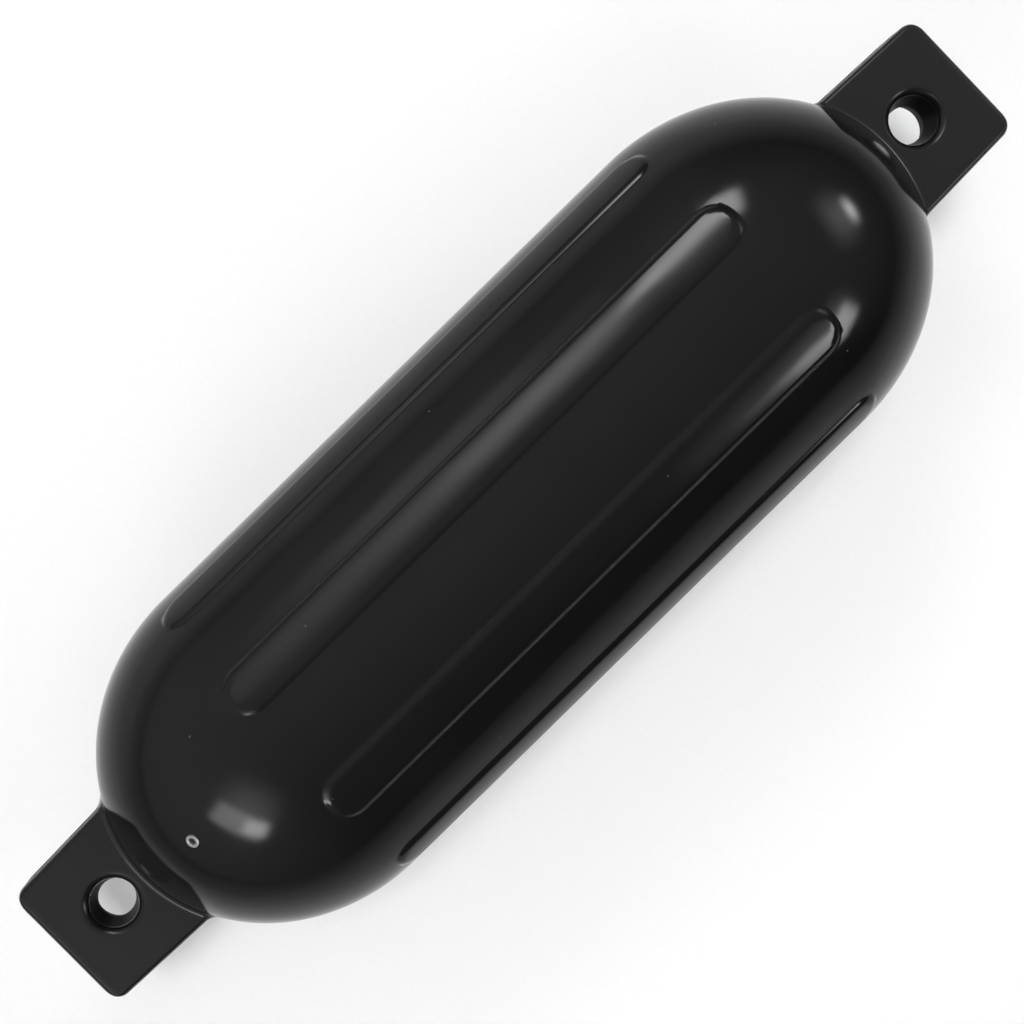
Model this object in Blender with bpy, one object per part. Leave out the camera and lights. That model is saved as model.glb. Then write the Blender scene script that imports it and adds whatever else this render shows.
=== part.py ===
"""Ribbed inflatable boat fender with two rope eyes, lying on its side.

The fender is one hollow moulding of soft PVC that stays sealed, so its body is one solid here.
The long axis runs along X, with the valve at the -X end. The flat tabs face up and down.
The body is the same on both sides of three planes, so one eighth of it is lofted and mirrored.
All sizes are in metres.
"""
import bmesh
import bpy
from math import atan2, cos, hypot, pi, radians, sin, sqrt
from mathutils import Matrix, Vector

# Barrel and domes
BODY_RADIUS = 0.0825            # bare barrel, between the ribs
BARREL_HALF = 0.1421            # half the length of the straight barrel
DOME_LENGTH = 0.0924            # a dome is a little longer than a half ball
REST_HALF_ANGLE = radians(3.2)  # half the angle of the narrow flat that it lies on

# Ribs, given for one quarter of the round as angles from the upright
RIB_ANGLES = (radians(21.5), radians(62.5))
RIB_HALF_LENGTH = 0.1467
RIB_HALF_WIDTH = 0.0120
RIB_HEIGHT = 0.0015
RIB_FLANK = 0.0045              # width of the soft slope from the foot to the top
RIB_FOOT = 0.25                 # share of that width taken by the hollow at the foot
RING_GAP = 0.0020               # bare strip from the ends of the ribs to the first row of the dome

# Tabs
TAB_LENGTH = 0.0488             # past the tip of the dome
TAB_END_WIDTH = 0.0668
TAB_THICKNESS = 0.0293
TAB_TAPER = 0.0375              # each side widens by this much per metre towards the dome
TAB_CORNER_RADIUS = 0.0070      # seen from above
TAB_EDGE_RADIUS = 0.0030
FACE_FILLET = 0.0030            # where the faces of the tab run into the dome
SIDE_FILLET = 0.0075            # where its sides do

# Shallow dish that the dome has over each face of the tab
DISH_DEPTH = 0.0013
DISH_TOP = 0.0575               # its upper edge above the axis
DISH_HALF_WIDTH = 0.0440        # half the width of its outline at the level of the axis
DISH_SQUARENESS = 2.4           # 2 would make the outline an ellipse

# Rope eyes
EYE_FROM_END = 0.0309
EYE_RADIUS = 0.0113             # just below the rounded lip
EYE_WAIST_RADIUS = 0.0087       # half way through, where the two pins of the mould meet
EYE_LIP_RADIUS = 0.0033

# Inflation valve
VALVE_ANGLE = radians(53.3)     # from the tip of the -X dome up towards the barrel
VALVE_BORE_DEPTH = 0.0120
VALVE_TOOL_PROUD = 0.0040       # how far the tool for the bore stands out of the dome
VALVE_RADIUS = 0.0032
VALVE_CLEARANCE = 0.0003
FERRULE_HOLE_RADIUS = 0.0015
FERRULE_THICKNESS = 0.0020
FERRULE_PROUD = 0.0002
FERRULE_ROUNDING = 0.0006
NEEDLE_RADIUS = 0.0005
NEEDLE_DEPTH = 0.0060

# Fineness of the facets
GAP_STEPS = (2, 3, 3)           # bare strips before the first rib, the second one and the side
FOOT_STEPS = 1
FLANK_STEPS = 2
RIB_END_STEPS = 5
DOME_ROWS = 8
DISH_STEPS = 6
FILLET_STEPS = 3
FACE_STEPS = 7
CORNER_STEPS = 3
SIDE_STEPS = 2
TAB_END_STEPS = 5
LIP_STEPS = 4
ROUND_SEGMENTS = 32

AXIS_HEIGHT = BODY_RADIUS * cos(REST_HALF_ANGLE)
DOME_TIP = BARREL_HALF + DOME_LENGTH
TAB_END = DOME_TIP + TAB_LENGTH
TAB_HALF = TAB_THICKNESS / 2
RING_X = RIB_HALF_LENGTH + RING_GAP
MERGE = 0.00001
SHARP_ANGLE = radians(40.0)


def clear_scene():
    for thing in list(bpy.data.objects):
        bpy.data.objects.remove(thing)


def material(name, colour, roughness, metallic=0.0):
    made = bpy.data.materials.new(name)
    made.use_nodes = True
    shader = made.node_tree.nodes["Principled BSDF"]
    shader.inputs["Base Color"].default_value = (*colour, 1.0)
    shader.inputs["Roughness"].default_value = roughness
    shader.inputs["Metallic"].default_value = metallic
    return made


def add_object(name, mesh, finish=None):
    thing = bpy.data.objects.new(name, mesh)
    bpy.context.scene.collection.objects.link(thing)
    if finish:
        mesh.materials.append(finish)
    return thing


def rounded_step(t):
    """A slope that leaves its foot through a small hollow and rounds over slowly to the top."""
    t = min(max(t, 0.0), 1.0)
    if t < RIB_FOOT:
        return t * t / RIB_FOOT
    return 1.0 - (1.0 - t) ** 2 / (1.0 - RIB_FOOT)


def body_radius(x):
    """Bare radius of the barrel or dome at x."""
    out = max(x - BARREL_HALF, 0.0) / DOME_LENGTH
    return BODY_RADIUS * sqrt(max(1.0 - out * out, 0.0))


def dome_x(y, z):
    """Where a line along X meets the dome."""
    inside = 1.0 - (y * y + z * z) / BODY_RADIUS ** 2
    return BARREL_HALF + DOME_LENGTH * sqrt(max(inside, 0.0))


def rib_rise(x, angle):
    """Height of the ribs over the bare barrel: a long pad with round ends and soft flanks."""
    past = max(x - (RIB_HALF_LENGTH - RIB_HALF_WIDTH), 0.0)
    rise = 0.0
    for centre in RIB_ANGLES:
        inside = RIB_HALF_WIDTH - hypot(past, BODY_RADIUS * (angle - centre))
        rise += RIB_HEIGHT * rounded_step(inside / RIB_FLANK)
    return rise


def spread(start, end, steps):
    """Evenly spaced values after start, up to and including end."""
    return [start + (end - start) * (i + 1) / steps for i in range(steps)]


def barrel_angles():
    """Angles from the upright to the side, closer together across each rib."""
    half = RIB_HALF_WIDTH / BODY_RADIUS
    flank = RIB_FLANK / BODY_RADIUS
    slope = spread(0.0, RIB_FOOT, FOOT_STEPS) + spread(RIB_FOOT, 1.0, FLANK_STEPS)
    angles = [0.0, REST_HALF_ANGLE]
    for centre, steps in zip(RIB_ANGLES, GAP_STEPS):
        angles += spread(angles[-1], centre - half, steps)
        angles += [centre - half + flank * t for t in slope]
        angles.append(centre)
        angles += [centre + half - flank * t for t in reversed(slope)]
        angles.append(centre + half)
    return angles + spread(angles[-1], pi / 2, GAP_STEPS[-1])


def barrel_rows():
    """Rings of points from the middle of the barrel to just past the ends of the ribs."""
    straight = RIB_HALF_LENGTH - RIB_HALF_WIDTH
    stations = [0.0, straight / 2, straight]
    for turn in spread(0.0, pi / 2, RIB_END_STEPS):
        stations.append(straight + RIB_HALF_WIDTH * sin(turn))
    stations.append(RING_X)
    rows = []
    for x in stations:
        row = []
        for angle in barrel_angles():
            radius = body_radius(x) + rib_rise(x, angle)
            row.append(Vector((x, radius * sin(angle), min(radius * cos(angle), AXIS_HEIGHT))))
        rows.append(row)
    return rows


def tab_half_width(x):
    return TAB_END_WIDTH / 2 + TAB_TAPER * (TAB_END - max(x, DOME_TIP))


def tab_outline(half_width, half_thickness, edge):
    """A quarter of the section of the tab: along the face, round the edge, down the side."""
    points = []
    for i in range(FACE_STEPS + 1):
        points.append((i / FACE_STEPS * (half_width - edge), half_thickness))
    for turn in spread(0.0, pi / 2, CORNER_STEPS):
        y = half_width - edge + edge * sin(turn)
        points.append((y, half_thickness - edge + edge * cos(turn)))
    for i in range(1, SIDE_STEPS + 1):
        points.append((half_width, (half_thickness - edge) * (1 - i / SIDE_STEPS)))
    return points


def dish_outline():
    """A quarter of the line on the dome that goes round the dish and the root of the tab."""
    power = DISH_SQUARENESS
    points = []
    for y, z in tab_outline(tab_half_width(DOME_TIP), TAB_HALF, TAB_EDGE_RADIUS)[:FACE_STEPS + 1]:
        points.append((y, DISH_TOP * (1 - (y / DISH_HALF_WIDTH) ** power) ** (1 / power)))
    for angle in spread(atan2(*points[-1]), pi / 2, CORNER_STEPS + SIDE_STEPS):
        wide = (sin(angle) / DISH_HALF_WIDTH) ** power
        high = (max(cos(angle), 0.0) / DISH_TOP) ** power
        reach = (wide + high) ** (-1 / power)
        points.append((reach * sin(angle), reach * max(cos(angle), 0.0)))
    points[-1] = (points[-1][0], 0.0)
    return points


def dome_rows():
    """Rows from the end of the ribs over the dome to the outline of the dish."""
    out = (RING_X - BARREL_HALF) / DOME_LENGTH
    ends = dish_outline()
    rows = []
    for k in range(1, DOME_ROWS + 1):
        row = []
        for j, (y, z) in enumerate(ends):
            angle = pi / 2 * j / (len(ends) - 1)
            ring = sqrt(1 - out * out)
            start = Vector((out, ring * sin(angle), ring * cos(angle)))
            stop = Vector(((dome_x(y, z) - BARREL_HALF) / DOME_LENGTH, y / BODY_RADIUS, z / BODY_RADIUS))
            unit = start.slerp(stop, k / DOME_ROWS)
            point = Vector((BARREL_HALF + DOME_LENGTH * unit.x, BODY_RADIUS * unit.y, BODY_RADIUS * unit.z))
            row.append(point)
        row[0].y = 0.0
        row[-1].z = 0.0
        rows.append(row)
    return rows


def root_column(near, end):
    """Points from the dish's outline down the dome and round the fillet to the tab.

    near is the (y, z) of a point on the section of the tab, and end that of one on the outline.
    """
    rise = (end - near).length
    away = (end - near) / rise
    fillet = FACE_FILLET + (SIDE_FILLET - FACE_FILLET) * away.x ** 2
    across = near.x / tab_half_width(DOME_TIP)
    sections = []
    for t in spread(0.0, 1.0, DISH_STEPS):
        height = rise + (fillet - rise) * t
        dish = DISH_DEPTH * (1.0 - across ** 2) * sin(pi * t) ** 2
        sections.append((dome_x(*(near + away * height)) - dish, height))
    start = Vector(sections[-1])
    corner = Vector((dome_x(*near), 0.0))
    landing = corner + Vector((fillet, 0.0))
    for turn in spread(0.0, pi / 2, FILLET_STEPS):
        round_off = (start - corner) * (1.0 - sin(turn)) + (landing - corner) * (1.0 - cos(turn))
        sections.append(corner + round_off)
    column = []
    for x, height in sections:
        narrower = tab_half_width(DOME_TIP) - tab_half_width(x)
        y, z = near + away * height
        column.append(Vector((x, y - narrower * across, z)))
    return column


def root_rows():
    """Rows from the outline of the dish to the flat of the tab."""
    outline = tab_outline(tab_half_width(DOME_TIP), TAB_HALF, TAB_EDGE_RADIUS)
    columns = [root_column(Vector(near), Vector(end)) for near, end in zip(outline, dish_outline())]
    return [list(row) for row in zip(*columns)]


def tab_rows():
    """Rows along the tab and round its end, whose corners and edges are rounded."""
    bare = TAB_END - TAB_CORNER_RADIUS
    rows = []
    for turn in [0.0] + spread(0.0, pi / 2, TAB_END_STEPS):
        x = bare + TAB_CORNER_RADIUS * sin(turn)
        half_width = tab_half_width(bare) - TAB_CORNER_RADIUS * (1 - cos(turn))
        into = max(x - (TAB_END - TAB_EDGE_RADIUS), 0.0)
        drop = TAB_EDGE_RADIUS - sqrt(max(TAB_EDGE_RADIUS ** 2 - into ** 2, 0.0))
        outline = tab_outline(half_width, TAB_HALF - drop, TAB_EDGE_RADIUS)
        rows.append([Vector((x, y, z)) for y, z in outline])
    return rows


def stitch(mesh, first, second):
    """Triangles between two rows of points that have different counts."""
    def turn(vert):
        return atan2(vert.co.y, vert.co.z)

    i = j = 0
    while i < len(first) - 1 or j < len(second) - 1:
        ahead_first = turn(first[i + 1]) if i < len(first) - 1 else 2 * pi
        ahead_second = turn(second[j + 1]) if j < len(second) - 1 else 2 * pi
        if ahead_first <= ahead_second:
            mesh.faces.new((first[i], second[j], first[i + 1]))
            i += 1
        else:
            mesh.faces.new((first[i], second[j], second[j + 1]))
            j += 1


def body_mesh():
    """One eighth of the body, open on its three cut planes."""
    mesh = bmesh.new()
    barrel = [[mesh.verts.new(p) for p in row] for row in barrel_rows()]
    end = [[mesh.verts.new(p) for p in row] for row in dome_rows() + root_rows() + tab_rows()]
    for rows in (barrel, end):
        for low, high in zip(rows, rows[1:]):
            for j in range(len(low) - 1):
                mesh.faces.new((low[j], high[j], high[j + 1], low[j + 1]))
    stitch(mesh, barrel[-1], end[0])
    tip = end[-1]
    hub = mesh.verts.new((TAB_END, 0.0, 0.0))
    mesh.faces.new([hub] + tip[::-1])
    made = bpy.data.meshes.new("fender_body")
    bmesh.ops.recalc_face_normals(mesh, faces=mesh.faces)
    mesh.to_mesh(made)
    mesh.free()
    return made


def turned(name, profile, segments=ROUND_SEGMENTS):
    """A closed solid turned round Z from (radius, height) points that run from the axis to the axis."""
    mesh = bmesh.new()
    verts = [mesh.verts.new((r, 0.0, z)) for r, z in profile]
    edges = [mesh.edges.new(pair) for pair in zip(verts, verts[1:])]
    if profile[0][0] > 0.0:
        edges.append(mesh.edges.new((verts[-1], verts[0])))
    bmesh.ops.spin(mesh, geom=verts + edges, axis=(0, 0, 1), cent=(0, 0, 0), angle=2 * pi,
                   steps=segments, use_merge=True)
    bmesh.ops.remove_doubles(mesh, verts=mesh.verts, dist=MERGE)
    bmesh.ops.recalc_face_normals(mesh, faces=mesh.faces)
    made = bpy.data.meshes.new(name)
    mesh.to_mesh(made)
    mesh.free()
    return made


def eye_profile():
    """The tool that leaves a rope eye: a throat that narrows to its waist, with rounded lips.

    The first chord of each lip runs on past the face of the tab, so that it cuts it cleanly.
    """
    centre = EYE_RADIUS + EYE_LIP_RADIUS
    level = TAB_HALF - EYE_LIP_RADIUS
    lip = []
    for turn in [0.0] + spread(0.0, pi / 2, LIP_STEPS):
        lip.append(Vector((centre - EYE_LIP_RADIUS * sin(turn), level + EYE_LIP_RADIUS * cos(turn))))
    mouth = lip[0] + (lip[0] - lip[1]) / 2
    top = mouth.y + EYE_LIP_RADIUS
    upper = [(0.0, top), (mouth.x, top), tuple(mouth)] + [tuple(point) for point in lip[1:]]
    lower = [(radius, -height) for radius, height in reversed(upper)]
    return upper + [(EYE_WAIST_RADIUS, 0.0)] + lower


def cutter(name, mesh, matrix):
    tool = add_object(name, mesh)
    tool.matrix_world = matrix
    tool.hide_render = True
    tool.display_type = "WIRE"
    return tool


def cut(thing, tool):
    step = thing.modifiers.new(tool.name, "BOOLEAN")
    step.operation = "DIFFERENCE"
    step.solver = "EXACT"
    step.object = tool


def valve_matrix():
    """Frame of the valve: origin on the dome, Z out along the dome's normal."""
    x = -(BARREL_HALF + DOME_LENGTH * cos(VALVE_ANGLE))
    z = BODY_RADIUS * sin(VALVE_ANGLE)
    out = Vector((-cos(VALVE_ANGLE) / DOME_LENGTH, 0.0, sin(VALVE_ANGLE) / BODY_RADIUS))
    turn = out.to_track_quat("Z", "Y").to_matrix().to_4x4()
    return Matrix.Translation((x, 0.0, z + AXIS_HEIGHT)) @ turn


def ferrule_profile():
    top = FERRULE_PROUD
    low = top - FERRULE_THICKNESS
    r = FERRULE_ROUNDING
    points = [(FERRULE_HOLE_RADIUS, low)]
    for turn in (pi, 3 * pi / 4, pi / 2):
        points.append((FERRULE_HOLE_RADIUS + r + r * cos(turn), top - r + r * sin(turn)))
    for turn in (pi / 2, pi / 4, 0.0):
        points.append((VALVE_RADIUS - r + r * cos(turn), top - r + r * sin(turn)))
    return points + [(VALVE_RADIUS, low)]


def core_profile():
    top = FERRULE_PROUD - FERRULE_THICKNESS - VALVE_CLEARANCE
    low = -VALVE_BORE_DEPTH + VALVE_CLEARANCE
    floor = top - NEEDLE_DEPTH
    return [(0.0, floor), (NEEDLE_RADIUS, floor), (NEEDLE_RADIUS, top), (VALVE_RADIUS, top),
            (VALVE_RADIUS, low), (0.0, low)]


def shade(thing):
    thing.data.shade_smooth()
    thing.data.set_sharp_from_angle(angle=SHARP_ANGLE)


def build():
    clear_scene()
    pvc = material("black_pvc", (0.012, 0.012, 0.013), 0.22)
    nickel = material("nickel", (0.55, 0.54, 0.52), 0.35, 1.0)
    rubber = material("valve_rubber", (0.03, 0.03, 0.03), 0.6)
    raised = Matrix.Translation((0.0, 0.0, AXIS_HEIGHT))

    body = add_object("fender_body", body_mesh(), pvc)
    body.matrix_world = raised
    halves = body.modifiers.new("halves", "MIRROR")
    halves.use_axis = (True, True, True)
    halves.merge_threshold = MERGE
    for side, name in ((-1, "eye_tool_valve_end"), (1, "eye_tool_far_end")):
        at = raised @ Matrix.Translation((side * (TAB_END - EYE_FROM_END), 0.0, 0.0))
        cut(body, cutter(name, turned(name, eye_profile()), at))
    bore = VALVE_RADIUS + VALVE_CLEARANCE
    hole = [(0.0, VALVE_TOOL_PROUD), (bore, VALVE_TOOL_PROUD), (bore, -VALVE_BORE_DEPTH),
            (0.0, -VALVE_BORE_DEPTH)]
    cut(body, cutter("valve_tool", turned("valve_tool", hole), valve_matrix()))
    shade(body)

    seat = add_object("valve_seat", None)
    seat.matrix_world = valve_matrix()
    for name, profile, finish in (("valve_ferrule", ferrule_profile(), nickel),
                                  ("valve_core", core_profile(), rubber)):
        piece = add_object(name, turned(name, profile), finish)
        piece.parent = seat
        shade(piece)


build()
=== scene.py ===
# %% [markdown]
# An inflatable boat fender, lying on its side
#
# The object is one hollow moulding of soft black vinyl, with a small valve. Its solids come in as
# a fixed frame. This script makes a finer skin for the body over them, then the finishes, the
# light and the camera. The long axis runs along X, the flat tabs face up and down, and z = 0 is
# the floor.

# %% Load the frame
from math import atan2, cos, hypot, pi, radians, sin, sqrt, tan

import bmesh
import bpy
from mathutils import Matrix, Vector


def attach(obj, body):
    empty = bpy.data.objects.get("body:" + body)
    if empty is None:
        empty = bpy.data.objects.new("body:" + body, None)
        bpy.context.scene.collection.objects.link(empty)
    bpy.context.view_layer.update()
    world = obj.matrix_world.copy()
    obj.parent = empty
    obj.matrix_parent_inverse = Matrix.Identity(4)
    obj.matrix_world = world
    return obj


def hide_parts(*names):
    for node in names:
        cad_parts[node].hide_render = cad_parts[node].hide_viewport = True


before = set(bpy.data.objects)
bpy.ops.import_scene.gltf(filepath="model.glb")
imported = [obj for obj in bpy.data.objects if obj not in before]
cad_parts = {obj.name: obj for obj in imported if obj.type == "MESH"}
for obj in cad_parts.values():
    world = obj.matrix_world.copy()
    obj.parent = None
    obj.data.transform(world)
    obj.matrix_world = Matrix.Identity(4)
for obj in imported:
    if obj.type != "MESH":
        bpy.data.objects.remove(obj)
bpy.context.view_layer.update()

# %% [markdown]
# Sizes of the fender
#
# Every length is in metres and is written once. The dome is an ellipsoid that is a little longer
# than a half ball, because the ends of a pumped body draw out towards the tabs.

# %% Sizes
BODY_RADIUS = 0.0825
BARREL_HALF = 0.1421
DOME_LENGTH = 0.0924
REST_HALF_ANGLE = radians(3.2)
AXIS_HEIGHT = BODY_RADIUS * cos(REST_HALF_ANGLE)
DOME_TIP = BARREL_HALF + DOME_LENGTH

RIB_ANGLES = (radians(21.5), radians(62.5))
RIB_HALF_LENGTH = 0.1467
RIB_HALF_WIDTH = 0.0120
RIB_HEIGHT = 0.0015
RIB_FLANK = 0.0045
RIB_FOOT = 0.25
RING_GAP = 0.0020
RING_X = RIB_HALF_LENGTH + RING_GAP

TAB_LENGTH = 0.0488
TAB_END_WIDTH = 0.0668
TAB_THICKNESS = 0.0293
TAB_HALF = TAB_THICKNESS / 2
TAB_TAPER = 0.0375
TAB_CORNER_RADIUS = 0.0070
TAB_EDGE_RADIUS = 0.0030
TAB_END = DOME_TIP + TAB_LENGTH
FACE_FILLET = 0.0030
SIDE_FILLET = 0.0075

DISH_DEPTH = 0.0013
DISH_TOP = 0.0575
DISH_HALF_WIDTH = 0.0440
DISH_SQUARENESS = 2.4

EYE_FROM_END = 0.0309
EYE_X = TAB_END - EYE_FROM_END
EYE_RADIUS = 0.0113
EYE_WAIST_RADIUS = 0.0087
EYE_LIP_RADIUS = 0.0033

VALVE_ANGLE = radians(53.3)
VALVE_BORE_RADIUS = 0.0035
VALVE_BORE_DEPTH = 0.0120
print("fender %.0f mm long and %.0f mm across" % (2000 * TAB_END, 2000 * BODY_RADIUS))

# %% [markdown]
# The rules that the surface follows
#
# The flank of a rib is a small hollow at its foot and then a long round up to its top. Two
# parabolas that meet with the same slope give that. A rib is such a slope, measured inwards from
# the border of a long pad with round ends.

# %% Rules of the surface
def spread(start, end, steps):
    """Evenly spaced values after start, up to and including end."""
    return [start + (end - start) * (i + 1) / steps for i in range(steps)]


def rounded_step(t):
    """A slope that leaves its foot through a small hollow and rounds over slowly to the top."""
    t = min(max(t, 0.0), 1.0)
    if t < RIB_FOOT:
        return t * t / RIB_FOOT
    return 1.0 - (1.0 - t) ** 2 / (1.0 - RIB_FOOT)


def body_radius(x):
    out = max(x - BARREL_HALF, 0.0) / DOME_LENGTH
    return BODY_RADIUS * sqrt(max(1.0 - out * out, 0.0))


def dome_x(y, z):
    """Where a line along X meets the dome."""
    inside = 1.0 - (y * y + z * z) / BODY_RADIUS ** 2
    return BARREL_HALF + DOME_LENGTH * sqrt(max(inside, 0.0))


def rib_rise(x, angle):
    past = max(x - (RIB_HALF_LENGTH - RIB_HALF_WIDTH), 0.0)
    rise = 0.0
    for centre in RIB_ANGLES:
        inside = RIB_HALF_WIDTH - hypot(past, BODY_RADIUS * (angle - centre))
        rise += RIB_HEIGHT * rounded_step(inside / RIB_FLANK)
    return rise


def tab_half_width(x):
    return TAB_END_WIDTH / 2 + TAB_TAPER * (TAB_END - max(x, DOME_TIP))


print("a rib stands %.1f mm high at its middle" % (1000 * rib_rise(0.0, RIB_ANGLES[0])))

# %% [markdown]
# The barrel and its ribs
#
# The body is the same on both sides of three planes, so only one eighth of it is drawn, and a
# Mirror modifier makes the rest. The columns crowd together on the slopes of the ribs, where the
# surface turns fast, and are wide apart on the bare barrel between them.

# %% Barrel
GAP_STEPS = 8
FOOT_STEPS = 5
FLANK_STEPS = 9
CROWN_STEPS = 6
STRAIGHT_STEPS = 6
RIB_END_STEPS = 24


def barrel_angles():
    half = RIB_HALF_WIDTH / BODY_RADIUS
    flank = RIB_FLANK / BODY_RADIUS
    slope = spread(0.0, RIB_FOOT, FOOT_STEPS) + spread(RIB_FOOT, 1.0, FLANK_STEPS)
    angles = [0.0, REST_HALF_ANGLE]
    for centre in RIB_ANGLES:
        angles += spread(angles[-1], centre - half, GAP_STEPS)
        angles += [centre - half + flank * t for t in slope]
        angles += spread(angles[-1], centre + half - flank, CROWN_STEPS)[:-1]
        angles += [centre + half - flank * t for t in reversed(slope)]
        angles.append(centre + half)
    return angles + spread(angles[-1], pi / 2, GAP_STEPS)


def barrel_rows():
    straight = RIB_HALF_LENGTH - RIB_HALF_WIDTH
    stations = [0.0] + spread(0.0, straight, STRAIGHT_STEPS)
    for turn in spread(0.0, pi / 2, RIB_END_STEPS):
        stations.append(straight + RIB_HALF_WIDTH * sin(turn))
    stations.append(RING_X)
    rows = []
    for x in stations:
        row = []
        for angle in barrel_angles():
            radius = body_radius(x) + rib_rise(x, angle)
            row.append(Vector((x, radius * sin(angle), min(radius * cos(angle), AXIS_HEIGHT))))
        rows.append(row)
    return rows


print("barrel of", len(barrel_rows()), "rows of", len(barrel_angles()), "points")

# %% [markdown]
# The dome, led from a circle to the tab
#
# A plain ball would leave its poles in the wrong place and would need the tab cut into it. Here
# the columns start evenly round the circle at the end of the barrel and slide over the dome until
# they line up with the flat faces, edges and sides of the tab. Each step turns a little along the
# great arc between the two ends, so that every point stays on the dome.

# %% Dome
DOME_ROWS = 40
FACE_STEPS = 20
CORNER_STEPS = 6
SIDE_STEPS = 6


def tab_outline(half_width, half_thickness, edge):
    """A quarter of the section of the tab: along the face, round the edge, down the side."""
    points = []
    for i in range(FACE_STEPS + 1):
        points.append((i / FACE_STEPS * (half_width - edge), half_thickness))
    for turn in spread(0.0, pi / 2, CORNER_STEPS):
        y = half_width - edge + edge * sin(turn)
        points.append((y, half_thickness - edge + edge * cos(turn)))
    for i in range(1, SIDE_STEPS + 1):
        points.append((half_width, (half_thickness - edge) * (1 - i / SIDE_STEPS)))
    return points


def dish_outline():
    """A quarter of the line on the dome that goes round the dish and the root of the tab."""
    power = DISH_SQUARENESS
    points = []
    for y, z in tab_outline(tab_half_width(DOME_TIP), TAB_HALF, TAB_EDGE_RADIUS)[:FACE_STEPS + 1]:
        points.append((y, DISH_TOP * (1 - (y / DISH_HALF_WIDTH) ** power) ** (1 / power)))
    for angle in spread(atan2(*points[-1]), pi / 2, CORNER_STEPS + SIDE_STEPS):
        wide = (sin(angle) / DISH_HALF_WIDTH) ** power
        high = (max(cos(angle), 0.0) / DISH_TOP) ** power
        reach = (wide + high) ** (-1 / power)
        points.append((reach * sin(angle), reach * max(cos(angle), 0.0)))
    points[-1] = (points[-1][0], 0.0)
    return points


def dome_rows():
    out = (RING_X - BARREL_HALF) / DOME_LENGTH
    ring = sqrt(1 - out * out)
    ends = dish_outline()
    rows = []
    for k in range(1, DOME_ROWS + 1):
        row = []
        for j, (y, z) in enumerate(ends):
            angle = pi / 2 * j / (len(ends) - 1)
            start = Vector((out, ring * sin(angle), ring * cos(angle)))
            across = dome_x(y, z) - BARREL_HALF
            stop = Vector((across / DOME_LENGTH, y / BODY_RADIUS, z / BODY_RADIUS))
            unit = start.slerp(stop, k / DOME_ROWS)
            row.append(Vector((BARREL_HALF + DOME_LENGTH * unit.x, BODY_RADIUS * unit.y,
                               BODY_RADIUS * unit.z)))
        row[0].y = 0.0
        row[-1].z = 0.0
        rows.append(row)
    return rows


print("dome of", DOME_ROWS, "rows of", len(dish_outline()), "points")

# %% [markdown]
# The root of the tab
#
# Over each face of the tab the dome is pressed in by about a millimetre, and a small fillet joins
# it to the tab. The fillet is wider at the sides, where it shows in the outline.

# %% Root of the tab
DISH_STEPS = 24
FILLET_STEPS = 8


def root_column(near, end):
    """Points from the dish's outline down the dome and round the fillet to the tab."""
    rise = (end - near).length
    away = (end - near) / rise
    fillet = FACE_FILLET + (SIDE_FILLET - FACE_FILLET) * away.x ** 2
    across = near.x / tab_half_width(DOME_TIP)
    sections = []
    for t in spread(0.0, 1.0, DISH_STEPS):
        height = rise + (fillet - rise) * t
        dish = DISH_DEPTH * (1.0 - across ** 2) * sin(pi * t) ** 2
        sections.append((dome_x(*(near + away * height)) - dish, height))
    start = Vector(sections[-1])
    corner = Vector((dome_x(*near), 0.0))
    landing = corner + Vector((fillet, 0.0))
    for turn in spread(0.0, pi / 2, FILLET_STEPS):
        round_off = (start - corner) * (1.0 - sin(turn)) + (landing - corner) * (1.0 - cos(turn))
        sections.append(corner + round_off)
    column = []
    for x, height in sections:
        narrower = tab_half_width(DOME_TIP) - tab_half_width(x)
        y, z = near + away * height
        column.append(Vector((x, y - narrower * across, z)))
    return column


def root_rows():
    outline = tab_outline(tab_half_width(DOME_TIP), TAB_HALF, TAB_EDGE_RADIUS)
    ends = zip(outline, dish_outline())
    columns = [root_column(Vector(near), Vector(end)) for near, end in ends]
    return [list(row) for row in zip(*columns)]


print("root of", len(root_rows()), "rows")

# %% [markdown]
# The tab and its rope eye
#
# The face of the tab is flat, so its eye needs no Boolean: rings of points run from the border of
# the face in to the lip, round the lip and down the throat to the waist. That keeps the faces
# regular, and the light runs evenly round the lip. The real lip is a little flatter than a
# quarter round, with a firm outer edge, so its curve has a power of its own and the face stops
# just outside it.

# %% Tab and eye
TAB_ROWS = 18
TAB_END_STEPS = 10
FLAT_RINGS = 8
LIP_STEPS = 12
LIP_POWER = 1.25
LIP_CREASE = 0.0004
THROAT_STEPS = 6


def tab_rows(first):
    """Rows from the root along the tab and round its end. first is the last row of the root."""
    bare = TAB_END - TAB_CORNER_RADIUS
    outline = tab_outline(tab_half_width(bare), TAB_HALF, TAB_EDGE_RADIUS)
    level = [Vector((bare, y, z)) for y, z in outline]
    rows = [[a.lerp(b, t) for a, b in zip(first, level)] for t in spread(0.0, 1.0, TAB_ROWS)]
    for turn in spread(0.0, pi / 2, TAB_END_STEPS):
        x = bare + TAB_CORNER_RADIUS * sin(turn)
        half_width = tab_half_width(bare) - TAB_CORNER_RADIUS * (1 - cos(turn))
        into = max(x - (TAB_END - TAB_EDGE_RADIUS), 0.0)
        drop = TAB_EDGE_RADIUS - sqrt(max(TAB_EDGE_RADIUS ** 2 - into ** 2, 0.0))
        outline = tab_outline(half_width, TAB_HALF - drop, TAB_EDGE_RADIUS)
        rows.append([Vector((x, y, z)) for y, z in outline])
    return rows


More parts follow.
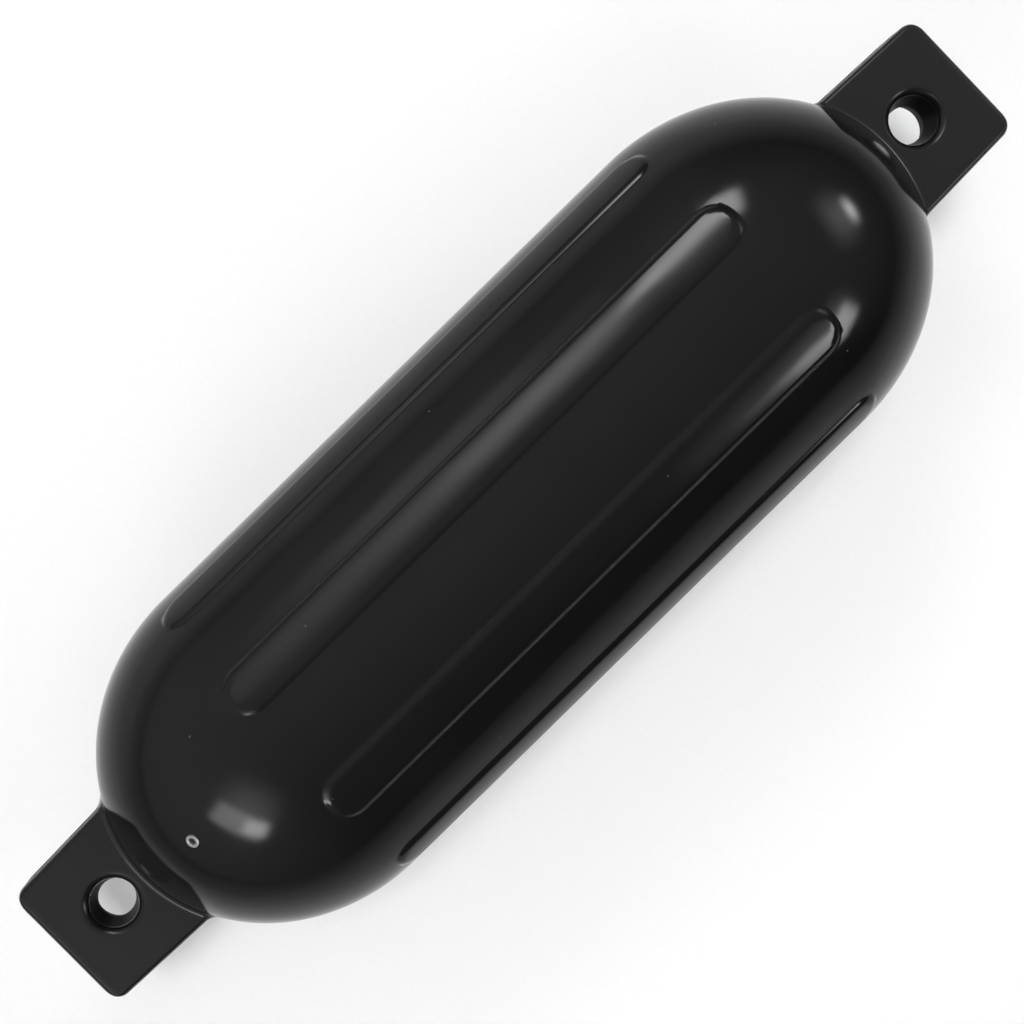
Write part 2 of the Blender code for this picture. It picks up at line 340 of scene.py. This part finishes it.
def eye_rings(border):
    """Rings from the border of the face to the waist of the eye, as lists of points."""
    directions = []
    for point in border:
        out = Vector((point.x - EYE_X, point.y))
        directions.append(out.normalized())
    lip_out = EYE_RADIUS + EYE_LIP_RADIUS
    crease = lip_out + LIP_CREASE
    rings = []
    for t in spread(0.0, 1.0, FLAT_RINGS):
        ring = []
        for point, out in zip(border, directions):
            goal = Vector((EYE_X + crease * out.x, crease * out.y, TAB_HALF))
            ring.append(point.lerp(goal, t))
        rings.append(ring)
    profile = []
    for turn in spread(0.0, pi / 2, LIP_STEPS):
        inwards, down = sin(turn) ** LIP_POWER, 1 - cos(turn) ** LIP_POWER
        profile.append((lip_out - EYE_LIP_RADIUS * inwards, TAB_HALF - EYE_LIP_RADIUS * down))
    start = profile[-1]
    for t in spread(0.0, 1.0, THROAT_STEPS):
        profile.append((start[0] + (EYE_WAIST_RADIUS - start[0]) * t, start[1] * (1 - t)))
    for radius, z in profile:
        rings.append([Vector((EYE_X + radius * out.x, radius * out.y, z)) for out in directions])
    return rings


print("tab from %.1f to %.1f mm" % (1000 * DOME_TIP, 1000 * TAB_END))

# %% [markdown]
# One eighth of the body, then all of it
#
# The rows are joined with four-sided faces. Where the barrel meets the dome their counts differ,
# so a strip of triangles is stitched between them in order of angle.

# %% Skin mesh
MERGE = 0.00001


def stitch(mesh, first, second):
    def turn(vert):
        return atan2(vert.co.y, vert.co.z)

    i = j = 0
    while i < len(first) - 1 or j < len(second) - 1:
        ahead_first = turn(first[i + 1]) if i < len(first) - 1 else 2 * pi
        ahead_second = turn(second[j + 1]) if j < len(second) - 1 else 2 * pi
        if ahead_first <= ahead_second:
            mesh.faces.new((first[i], second[j], first[i + 1]))
            i += 1
        else:
            mesh.faces.new((first[i], second[j], second[j + 1]))
            j += 1


def join_rows(mesh, rows, first_column=0):
    for low, high in zip(rows, rows[1:]):
        for j in range(first_column, len(low) - 1):
            mesh.faces.new((low[j], high[j], high[j + 1], low[j + 1]))


def skin_mesh():
    mesh = bmesh.new()

    def lay(rows):
        return [[mesh.verts.new(point) for point in row] for row in rows]

    barrel = lay(barrel_rows())
    join_rows(mesh, barrel)
    root_points = root_rows()
    dome = lay(dome_rows() + root_points)
    join_rows(mesh, dome)
    stitch(mesh, barrel[-1], dome[0])

    tab_points = tab_rows(root_points[-1])
    face = FACE_STEPS
    tab = [dome[-1]]
    for row in tab_points[:TAB_ROWS - 1]:
        tab.append([None] * face + [mesh.verts.new(point) for point in row[face:]])
    tab += lay(tab_points[TAB_ROWS - 1:])
    join_rows(mesh, tab[:TAB_ROWS + 1], first_column=face)
    join_rows(mesh, tab[TAB_ROWS:])

    border = tab[0][:face + 1] + [row[face] for row in tab[1:TAB_ROWS]] + tab[TAB_ROWS][face::-1]
    rings = [border] + lay(eye_rings([vert.co for vert in border]))
    join_rows(mesh, rings)

    tip = tab[-1]
    hub = mesh.verts.new((TAB_END, 0.0, 0.0))
    mesh.faces.new([hub] + tip[::-1])
    bmesh.ops.recalc_face_normals(mesh, faces=mesh.faces)
    made = bpy.data.meshes.new("fender_skin")
    mesh.to_mesh(made)
    mesh.free()
    return made


skin = bpy.data.objects.new("fender_skin", skin_mesh())
bpy.context.scene.collection.objects.link(skin)
skin.data.transform(Matrix.Translation((0.0, 0.0, AXIS_HEIGHT)))
print("one eighth has", len(skin.data.polygons), "faces")

# %% [markdown]
# The other seven eighths, and the bore of the valve
#
# The Mirror modifier works about the fender's middle, so an empty stands there. The bore is the
# one thing that breaks the symmetry, so it is cut after the mirror with a Boolean.

# %% Mirror and valve bore
DRILL_STICKS_OUT = 0.004
DRILL_SEGMENTS = 96
SHARP_ANGLE = radians(50.0)


def turned(name, profile, segments):
    """A solid turned round Z from (radius, height) points that begin and end on the axis."""
    mesh = bmesh.new()
    verts = [mesh.verts.new((r, 0.0, z)) for r, z in profile]
    edges = [mesh.edges.new(pair) for pair in zip(verts, verts[1:])]
    bmesh.ops.spin(mesh, geom=verts + edges, axis=(0, 0, 1), cent=(0, 0, 0), angle=2 * pi,
                   steps=segments, use_merge=True)
    bmesh.ops.remove_doubles(mesh, verts=mesh.verts, dist=MERGE)
    bmesh.ops.recalc_face_normals(mesh, faces=mesh.faces)
    made = bpy.data.meshes.new(name)
    mesh.to_mesh(made)
    mesh.free()
    return made


def valve_matrix():
    """Frame of the valve: origin on the dome, Z out along the dome's normal."""
    x = -(BARREL_HALF + DOME_LENGTH * cos(VALVE_ANGLE))
    z = BODY_RADIUS * sin(VALVE_ANGLE)
    out = Vector((-cos(VALVE_ANGLE) / DOME_LENGTH, 0.0, sin(VALVE_ANGLE) / BODY_RADIUS))
    turn = out.to_track_quat("Z", "Y").to_matrix().to_4x4()
    return Matrix.Translation((x, 0.0, z + AXIS_HEIGHT)) @ turn


middle = bpy.data.objects.new("fender_middle", None)
middle.location = (0.0, 0.0, AXIS_HEIGHT)
bpy.context.scene.collection.objects.link(middle)
halves = skin.modifiers.new("halves", "MIRROR")
halves.use_axis = (True, True, True)
halves.mirror_object = middle
halves.merge_threshold = MERGE

bore_profile = [(0.0, DRILL_STICKS_OUT), (VALVE_BORE_RADIUS, DRILL_STICKS_OUT),
                (VALVE_BORE_RADIUS, -VALVE_BORE_DEPTH), (0.0, -VALVE_BORE_DEPTH)]
drill_mesh = turned("valve_drill", bore_profile, DRILL_SEGMENTS)
drill = bpy.data.objects.new("valve_drill", drill_mesh)
bpy.context.scene.collection.objects.link(drill)
drill.matrix_world = valve_matrix()
bore = skin.modifiers.new("valve_bore", "BOOLEAN")
bore.operation = "DIFFERENCE"
bore.solver = "EXACT"
bore.object = drill

bpy.context.view_layer.update()
whole = bpy.data.meshes.new_from_object(skin.evaluated_get(bpy.context.evaluated_depsgraph_get()))
skin.modifiers.clear()
skin.data = whole
bpy.data.objects.remove(drill)
bpy.data.objects.remove(middle)
whole.shade_smooth()
whole.set_sharp_from_angle(angle=SHARP_ANGLE)
print("the skin has", len(whole.polygons), "faces")
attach(skin, "root")
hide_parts("fender_body")

# %% [markdown]
# A shorter way to write nodes
#
# A node tree written call by call is long and hard to read. A small class adds a node, sets it
# and links its inputs in one line. Effects that several materials share become node groups, which
# are built once and then placed in each material with its own values.

# %% Node helpers
class Nodes:
    """Adds nodes to a tree and links them in one call."""

    def __init__(self, tree):
        self.tree = tree

    def add(self, kind, settings=None, **inputs):
        node = self.tree.nodes.new(kind)
        for key, value in (settings or {}).items():
            setattr(node, key, value)
        for key, value in inputs.items():
            self.feed(node.inputs[key], value)
        return node

    def feed(self, socket, value):
        if isinstance(value, bpy.types.NodeSocket):
            self.tree.links.new(value, socket)
        else:
            socket.default_value = value

    def math(self, operation, a, b=0.0, clamp=False):
        node = self.tree.nodes.new("ShaderNodeMath")
        node.operation = operation
        node.use_clamp = clamp
        self.feed(node.inputs[0], a)
        self.feed(node.inputs[1], b)
        return node.outputs[0]

    def ramp(self, value, low, high, to_low=0.0, to_high=1.0):
        node = self.tree.nodes.new("ShaderNodeMapRange")
        node.interpolation_type = "SMOOTHSTEP"
        for key, given in (("Value", value), ("From Min", low), ("From Max", high),
                           ("To Min", to_low), ("To Max", to_high)):
            self.feed(node.inputs[key], given)
        return node.outputs["Result"]

    def mix_number(self, amount, a, b):
        node = self.tree.nodes.new("ShaderNodeMix")
        for key, given in zip((0, 2, 3), (amount, a, b)):
            self.feed(node.inputs[key], given)
        return node.outputs[0]

    def mix_colour(self, amount, a, b):
        node = self.tree.nodes.new("ShaderNodeMix")
        node.data_type = "RGBA"
        self.feed(node.inputs["Factor"], amount)
        self.feed(node.inputs[6], a)
        self.feed(node.inputs[7], b)
        return node.outputs[2]


def effect_group(name, numbers, outputs):
    """A shader node group with number inputs, a vector called Place, and the outputs named."""
    tree = bpy.data.node_groups.new(name, "ShaderNodeTree")
    tree.interface.new_socket("Place", in_out="INPUT", socket_type="NodeSocketVector")
    for key, value in numbers.items():
        made = tree.interface.new_socket(key, in_out="INPUT", socket_type="NodeSocketFloat")
        made.default_value = value
    for key in outputs:
        tree.interface.new_socket(key, in_out="OUTPUT", socket_type="NodeSocketFloat")
    nodes = Nodes(tree)
    return tree, nodes, nodes.add("NodeGroupInput"), nodes.add("NodeGroupOutput")


def use_group(nodes, tree, **inputs):
    return nodes.add("ShaderNodeGroup", {"node_tree": tree}, **inputs).outputs


print("node helpers ready")

# %% [markdown]
# Dust
#
# A few small grains lie on the vinyl, and finer ones on the ring and the rubber. An image of dust
# would need unwrapping. A Voronoi texture gives round cells anywhere in space: the middle of a
# cell becomes a grain, and the cell's random colour decides which grains are kept, so they don't
# form a pattern.

# %% Dust group
dust_inputs = {"Spacing": 300.0, "Size": 0.1, "Cover": 0.3}
dust_tree, nodes, given, result = effect_group("dust", dust_inputs, ("Mask",))
cells = nodes.add("ShaderNodeTexVoronoi", Vector=given.outputs["Place"],
                  Scale=given.outputs["Spacing"])
speck = nodes.math("LESS_THAN", cells.outputs["Distance"], given.outputs["Size"])
chosen = nodes.add("ShaderNodeSeparateColor", Color=cells.outputs["Color"])
kept = nodes.math("LESS_THAN", chosen.outputs["Red"], given.outputs["Cover"])
nodes.feed(result.inputs["Mask"], nodes.math("MULTIPLY", speck, kept))
print("group:", dust_tree.name)

# %% [markdown]
# Unevenness
#
# No moulding is quite even: its skin swells a little, its gloss varies, and a rough mould leaves
# a grain. All three are the same smooth noise at other scales, so one group serves them, and each
# material sets how coarse and how detailed it is.

# %% Unevenness group
uneven_inputs = {"Scale": 40.0, "Detail": 2.0}
uneven_tree, nodes, given, result = effect_group("unevenness", uneven_inputs, ("Height",))
swell = nodes.add("ShaderNodeTexNoise", Vector=given.outputs["Place"],
                  Scale=given.outputs["Scale"], Detail=given.outputs["Detail"], Roughness=0.5)
nodes.feed(result.inputs["Height"], swell.outputs["Fac"])
print("group:", uneven_tree.name)

# %% [markdown]
# Where the vinyl is glossy and where it is satin
#
# Soft vinyl from a polished mould is glossy on the body. The tabs are clamped in a rougher part
# of the mould and come out satin, with shinier rounded edges. Painted masks would need
# unwrapping, so the masks use the shape's own equations. A point whose dome sum is over one lies
# outside the dome, so it is on a tab, and its height tells the flat face from the rounding and
# from the throat of the eye.

# %% Masks of the vinyl
END_FADE = (0.030, 0.040)
TAB_FADE = (1.045, 1.080)
DISH_FADE = (0.35, 1.0)
FACE_FADE = (TAB_HALF - 0.0003, TAB_HALF - 0.0001)
THROAT_FADE = (0.0100, 0.0120)


def new_material(name):
    made = bpy.data.materials.new(name)
    made.use_nodes = True
    nodes = Nodes(made.node_tree)
    return made, nodes, made.node_tree.nodes["Principled BSDF"]


def object_place(nodes):
    return nodes.add("ShaderNodeTexCoord").outputs["Object"]


def centred_place(nodes, place):
    """Distances from the middle of the fender along X, Y and Z, with no sign."""
    centred = nodes.add("ShaderNodeVectorMath", {"operation": "SUBTRACT"})
    nodes.feed(centred.inputs[0], place)
    nodes.feed(centred.inputs[1], (0.0, 0.0, AXIS_HEIGHT))
    size = nodes.add("ShaderNodeVectorMath", {"operation": "ABSOLUTE"})
    nodes.feed(size.inputs[0], centred.outputs["Vector"])
    return nodes.add("ShaderNodeSeparateXYZ", Vector=size.outputs["Vector"]).outputs


def round_sum(nodes, pairs, power):
    """The sum of (value / size) to a power, which is 1 on an ellipse or a squarer round."""
    total = 0.0
    for value, size in pairs:
        part = nodes.math("POWER", nodes.math("DIVIDE", value, size), power)
        total = nodes.math("ADD", total, part)
    return total


vinyl, nodes, shader = new_material("black_vinyl")
place = object_place(nodes)
x, y, z = centred_place(nodes, place)
past = nodes.math("MAXIMUM", nodes.math("SUBTRACT", x, BARREL_HALF), 0.0)
on_end = nodes.ramp(past, *END_FADE)
dome_sum = round_sum(nodes, ((past, DOME_LENGTH), (y, BODY_RADIUS), (z, BODY_RADIUS)), 2.0)
tab = nodes.math("MULTIPLY", nodes.ramp(dome_sum, *TAB_FADE), on_end)
# The dish mask marks the hollow at the root of the tab, where the colour gets painted light.
dish_sum = round_sum(nodes, ((y, DISH_HALF_WIDTH), (z, DISH_TOP)), DISH_SQUARENESS)
dish = nodes.math("MULTIPLY", nodes.ramp(dish_sum, *DISH_FADE, 1.0, 0.0), on_end)
off_face = nodes.ramp(z, *FACE_FADE, 1.0, 0.0)
throat = nodes.math("MULTIPLY", nodes.ramp(z, *THROAT_FADE, 1.0, 0.0), tab)
rounding = nodes.math("MULTIPLY", nodes.math("SUBTRACT", off_face, throat, clamp=True), tab)
print("masks ready: tab, dish, throat and rounding")

# %% [markdown]
# Gloss, colour and grain of the vinyl
#
# The colour is almost black everywhere, and a little greyer where the skin is worn. In the hollow
# at the root of the tab the colour is greyest: that grey is painted light, which stands in for the
# light from above that the hollow would mirror. Noise does the rest: two broad ones make the gloss
# cloudy and bend the reflections as a pumped skin does, and a fine one is the grain of the tabs.
# Soft vinyl mirrors less at its rim than hard plastic, so the specular level falls as the surface
# turns away, with the Layer Weight node.

# %% Gloss and colour of the vinyl
NOISE_RANGE = (0.3, 0.7)
BODY_ROUGHNESS = (0.11, 0.15)
TAB_ROUGHNESS = (0.38, 0.50)
EDGE_ROUGHNESS = 0.24
SPECK_ROUGHNESS = 0.5
MIRROR_TURN = (0.15, 0.52)
MIRROR_LEVEL = (0.50, 0.09)
MIRROR_IN_THROAT = 0.4
GRAIN_ON_BODY = 0.10

cloud = use_group(nodes, uneven_tree, Place=place, Scale=28.0, Detail=3.0)["Height"]
fine = use_group(nodes, uneven_tree, Place=place, Scale=900.0, Detail=2.0)["Height"]
ripple = use_group(nodes, uneven_tree, Place=place, Scale=22.0, Detail=1.0)["Height"]
specks = use_group(nodes, dust_tree, Place=place, Spacing=120.0, Size=0.055, Cover=0.07)["Mask"]

body_rough = nodes.ramp(cloud, *NOISE_RANGE, *BODY_ROUGHNESS)
tab_rough = nodes.ramp(fine, *NOISE_RANGE, *TAB_ROUGHNESS)
rough = nodes.mix_number(tab, body_rough, tab_rough)
rough = nodes.mix_number(rounding, rough, EDGE_ROUGHNESS)
rough = nodes.math("ADD", rough, nodes.math("MULTIPLY", specks, SPECK_ROUGHNESS))
nodes.feed(shader.inputs["Roughness"], rough)

dark = (0.0030, 0.0030, 0.0032, 1.0)
worn = (0.0050, 0.0050, 0.0052, 1.0)
# Painted light: a greyer colour in the hollow at the root of the tab stands in for the light from
# above that the hollow would mirror.
painted_light_in_dish = (0.016, 0.016, 0.017, 1.0)
tab_colour = (0.0055, 0.0055, 0.0058, 1.0)
speck_colour = (0.11, 0.11, 0.105, 1.0)
colour = nodes.mix_colour(cloud, dark, worn)
colour = nodes.mix_colour(dish, colour, painted_light_in_dish)
colour = nodes.mix_colour(tab, colour, tab_colour)
colour = nodes.mix_colour(specks, colour, speck_colour)
nodes.feed(shader.inputs["Base Color"], colour)

facing = nodes.add("ShaderNodeLayerWeight", Blend=0.5).outputs["Facing"]
mirror = nodes.ramp(facing, *MIRROR_TURN, *MIRROR_LEVEL)
mirror = nodes.math("MAXIMUM", mirror, nodes.math("MULTIPLY", rounding, MIRROR_LEVEL[0]))
mirror = nodes.math("MULTIPLY", mirror, nodes.ramp(throat, 0.0, 1.0, 1.0, MIRROR_IN_THROAT))
nodes.feed(shader.inputs["Specular IOR Level"], mirror)

swelling = nodes.add("ShaderNodeBump", Strength=0.35, Distance=0.0012, Height=ripple)
grainy = nodes.math("SUBTRACT", tab, rounding)
grain_height = nodes.math("MULTIPLY", fine, nodes.ramp(grainy, 0.0, 1.0, GRAIN_ON_BODY, 1.0))
grain = nodes.add("ShaderNodeBump", Strength=0.25, Distance=0.00012, Height=grain_height,
                  Normal=swelling.outputs["Normal"])
nodes.feed(shader.inputs["Normal"], grain.outputs["Normal"])
skin.data.materials.clear()
skin.data.materials.append(vinyl)
print("vinyl has", len(vinyl.node_tree.nodes), "nodes")

# %% [markdown]
# The valve
#
# A bright metal ring lies in the bore, flush with the dome, and behind it is a black rubber plug
# with a needle hole. Both pieces keep their solids' shape.

# %% Valve finishes
def valve_finish(name, grain, tones, dust, dust_colour, roughness, relief):
    """A fine noise sets the colour, the roughness and the bump, and dust lies on top."""
    made, nodes, shader = new_material(name)
    place = object_place(nodes)
    noise = use_group(nodes, uneven_tree, Place=place, **grain)["Height"]
    grains = use_group(nodes, dust_tree, Place=place, **dust)["Mask"]
    tone = nodes.mix_colour(noise, *tones)
    nodes.feed(shader.inputs["Base Color"], nodes.mix_colour(grains, tone, dust_colour))
    nodes.feed(shader.inputs["Roughness"], nodes.ramp(noise, *NOISE_RANGE, *roughness))
    bump = nodes.add("ShaderNodeBump", Strength=relief, Distance=0.0001, Height=noise)
    nodes.feed(shader.inputs["Normal"], bump.outputs["Normal"])
    return made, shader


ring_metal, shader = valve_finish(
    "valve_metal", grain={"Scale": 1500.0, "Detail": 2.0},
    tones=((0.42, 0.42, 0.41, 1.0), (0.66, 0.66, 0.64, 1.0)),
    dust={"Spacing": 1400.0, "Size": 0.3, "Cover": 0.25}, dust_colour=(0.16, 0.16, 0.15, 1.0),
    roughness=(0.28, 0.45), relief=0.3)
shader.inputs["Metallic"].default_value = 0.9
plug_rubber, shader = valve_finish(
    "valve_rubber", grain={"Scale": 1800.0, "Detail": 3.0},
    tones=((0.035, 0.035, 0.035, 1.0), (0.065, 0.065, 0.065, 1.0)),
    dust={"Spacing": 900.0, "Size": 0.2, "Cover": 0.3}, dust_colour=(0.15, 0.15, 0.14, 1.0),
    roughness=(0.5, 0.7), relief=0.4)

for name, finish in (("valve_ferrule", ring_metal), ("valve_core", plug_rubber)):
    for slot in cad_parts[name].material_slots:
        slot.material = finish
print("valve finished")

# %% [markdown]
# The floor
#
# A plain pale floor takes the soft shadow, and is so wide that its rim is far from the fender. It
# has no gloss, or it would mirror the lamps beside the fender.

# %% Floor
FLOOR_HALF = 15.0
SHADED_PAPER = (0.90, 0.90, 0.90, 1.0)
BRIGHT_PAPER = (0.93, 0.93, 0.93, 1.0)

floor_mesh = bpy.data.meshes.new("floor")
signs = [(-1, -1), (1, -1), (1, 1), (-1, 1)]
corners = [(FLOOR_HALF * a, FLOOR_HALF * b, 0.0) for a, b in signs]
floor_mesh.from_pydata(corners, [], [(0, 1, 2, 3)])
floor = bpy.data.objects.new("floor", floor_mesh)
bpy.context.scene.collection.objects.link(floor)
paper, nodes, shader = new_material("pale_floor")
place = object_place(nodes)
fibre = use_group(nodes, uneven_tree, Place=place, Scale=400.0, Detail=2.0)["Height"]
nodes.feed(shader.inputs["Base Color"], nodes.mix_colour(fibre, SHADED_PAPER, BRIGHT_PAPER))
shader.inputs["Roughness"].default_value = 0.9
shader.inputs["Specular IOR Level"].default_value = 0.0
floor.data.materials.append(paper)
print("floor", 2 * FLOOR_HALF, "m wide")

# %% [markdown]
# Soft edges for the lamps
#
# A glossy body mirrors its lamps, and a bare area lamp would show as a hard rectangle. The cloth
# of a real softbox is dimmer towards its rim. The Parametric output of the Geometry node runs
# from 0 to 1 across an area lamp, so a mask made from it dims the lamp towards all four sides.

# %% Soft edge group
edge_tree, nodes, given, result = effect_group("soft_edge", {"Softness": 0.5}, ("Mask",))
parts = nodes.add("ShaderNodeSeparateXYZ", Vector=given.outputs["Place"])
sides = []
for axis in ("X", "Y"):
    off = nodes.math("ABSOLUTE", nodes.math("SUBTRACT", parts.outputs[axis], 0.5))
    inside = nodes.math("SUBTRACT", 1.0, nodes.math("MULTIPLY", off, 2.0))
    sides.append(nodes.ramp(inside, 0.0, given.outputs["Softness"]))
nodes.feed(result.inputs["Mask"], nodes.math("MULTIPLY", *sides))
print("group:", edge_tree.name)

# %% [markdown]
# The lamps
#
# Black vinyl shows hardly any colour of its own, so what it reflects makes the picture. Each
# bright patch is a softbox with a hot core and a dimmer glow round it. Their sizes are in degrees
# as seen from the fender, and a brightness of 1 is that of white paper. A broad lamp overhead
# lights the floor, and is hidden from reflections, because its picture would cover the whole top
# of the barrel.

# %% Lamps
CENTRE = Vector((0.0, 0.0, AXIS_HEIGHT))
LAMP_DISTANCE = 1.6
OVERHEAD_DISTANCE = 1.8
OVERHEAD_SPREAD = radians(24.0)


def direction(azimuth, elevation):
    a, e = radians(azimuth), radians(elevation)
    return Vector((cos(e) * cos(a), cos(e) * sin(a), sin(e)))


def softbox(name, azimuth, elevation, wide, high, brightness, soft=0.0, distance=LAMP_DISTANCE):
    """An area lamp that faces the fender. All angles are in degrees."""
    data = bpy.data.lights.new(name, "AREA")
    data.shape = "RECTANGLE"
    data.size = 2.0 * distance * tan(radians(wide / 2))
    data.size_y = 2.0 * distance * tan(radians(high / 2))
    data.energy = brightness * pi * data.size * data.size_y
    if soft:
        data.use_nodes = True
        nodes = Nodes(data.node_tree)
        across = nodes.add("ShaderNodeNewGeometry").outputs["Parametric"]
        mask = use_group(nodes, edge_tree, Place=across, Softness=soft)["Mask"]
        nodes.feed(data.node_tree.nodes["Emission"].inputs["Strength"], mask)
    lamp = bpy.data.objects.new(name, data)
    back = direction(azimuth, elevation)
    lamp.location = CENTRE + back * distance
    lamp.rotation_euler = back.to_track_quat("Z", "Y").to_euler()
    bpy.context.scene.collection.objects.link(lamp)
    return lamp


# The numbers are the azimuth, elevation, width, height and brightness of each lamp.
overhead = softbox("overhead", 90.0, 80.0, 36.0, 36.0, 0.60, distance=OVERHEAD_DISTANCE)
overhead.data.spread = OVERHEAD_SPREAD
overhead.visible_glossy = False
softbox("streak_core", 59.0, 39.0, 21.0, 19.5, 6.2, soft=0.6)
softbox("streak_side", 76.0, 46.0, 22.0, 24.0, 1.3, soft=1.0)
softbox("streak_glow", 83.0, 47.0, 54.0, 30.0, 0.9, soft=1.0)
softbox("streak_tail", 87.0, 28.0, 28.0, 18.0, 0.7, soft=1.0)
softbox("low_core", -153.0, 37.0, 16.0, 11.0, 3.9, soft=0.6)
softbox("low_wide", -164.0, 37.0, 32.0, 15.0, 2.4, soft=0.4)
softbox("low_glow", -164.0, 47.0, 44.0, 34.0, 0.9, soft=1.0)
softbox("rib_core", -60.5, 30.0, 20.0, 15.5, 5.4, soft=0.6)
softbox("rib_glow", -60.0, 36.0, 30.0, 24.0, 0.9, soft=1.0)
softbox("end_core", -8.0, 23.5, 17.0, 9.0, 11.0, soft=1.0)
softbox("end_glow", -7.0, 31.0, 34.0, 26.0, 1.2, soft=1.0)

# %% [markdown]
# The room
#
# The room is dim, and brighter on one side, so that the two flanks of the body differ. A world
# shader gets the direction of each ray as its Generated coordinate. Its dot product with a chosen
# direction is 1 there and falls all round it, which gives soft light with no edges.

# %% Room
ROOM_BASE = 0.03


def room_light(nodes, azimuth, elevation, low, high, strength):
    """Light that is strongest towards one direction and fades round it."""
    towards = nodes.add("ShaderNodeVectorMath", {"operation": "DOT_PRODUCT"})
    nodes.feed(towards.inputs[0], nodes.add("ShaderNodeTexCoord").outputs["Generated"])
    nodes.feed(towards.inputs[1], direction(azimuth, elevation))
    return nodes.math("MULTIPLY", nodes.ramp(towards.outputs["Value"], low, high), strength)


world = bpy.data.worlds.new("dim_room")
bpy.context.scene.world = world
world.use_nodes = True
nodes = Nodes(world.node_tree)
wall = room_light(nodes, 150.0, 5.0, low=-0.9, high=1.2, strength=0.42)
ceiling = room_light(nodes, -10.0, 40.0, low=0.4, high=1.0, strength=0.20)
room = nodes.math("ADD", nodes.math("ADD", wall, ceiling), ROOM_BASE)
background = world.node_tree.nodes["Background"]
background.inputs["Color"].default_value = (1.0, 1.0, 1.0, 1.0)
nodes.feed(background.inputs["Strength"], room)
print("the room has", len(world.node_tree.nodes), "nodes")

# %% [markdown]
# The camera
#
# The camera looks down from about three quarters of a metre. It is turned so that the fender lies
# from the lower left to the upper right, and leans by two degrees about the fender's long axis,
# because the ribs show a little more of one side. Its shift moves the view off the axis of the
# lens. Its place, height and shift are in pixels of the picture, and one number turns them into
# metres.

# %% Camera
METRES_PER_PIXEL = 0.4583e-3
PICTURE = 1024
CAMERA_X = -131.6
CAMERA_Y = 78.0
CAMERA_HEIGHT = 1670.0
CAMERA_TURN = radians(-44.4)
CAMERA_LEAN = radians(-2.1)
SHIFT_ACROSS = 149.8
SHIFT_UP = 35.6
SENSOR_WIDTH = 36.0

camera_data = bpy.data.cameras.new("camera")
camera = bpy.data.objects.new("camera", camera_data)
camera.location = (CAMERA_X * METRES_PER_PIXEL, CAMERA_Y * METRES_PER_PIXEL,
                   AXIS_HEIGHT + CAMERA_HEIGHT * METRES_PER_PIXEL)
camera.rotation_euler = (0.0, 0.0, CAMERA_TURN)
camera_data.sensor_width = SENSOR_WIDTH
camera_data.lens = CAMERA_HEIGHT / PICTURE * SENSOR_WIDTH
camera_data.shift_x = SHIFT_ACROSS / PICTURE
camera_data.shift_y = SHIFT_UP / PICTURE
camera_data.clip_start = 0.01
bpy.context.scene.collection.objects.link(camera)
bpy.context.scene.camera = camera
bpy.context.view_layer.update()
to_middle = Matrix.Translation(CENTRE)
lean = to_middle @ Matrix.Rotation(CAMERA_LEAN, 4, "X") @ to_middle.inverted()
camera.matrix_world = lean @ camera.matrix_world
bpy.context.scene.view_settings.view_transform = "Standard"
print("lens %.1f mm" % camera_data.lens)
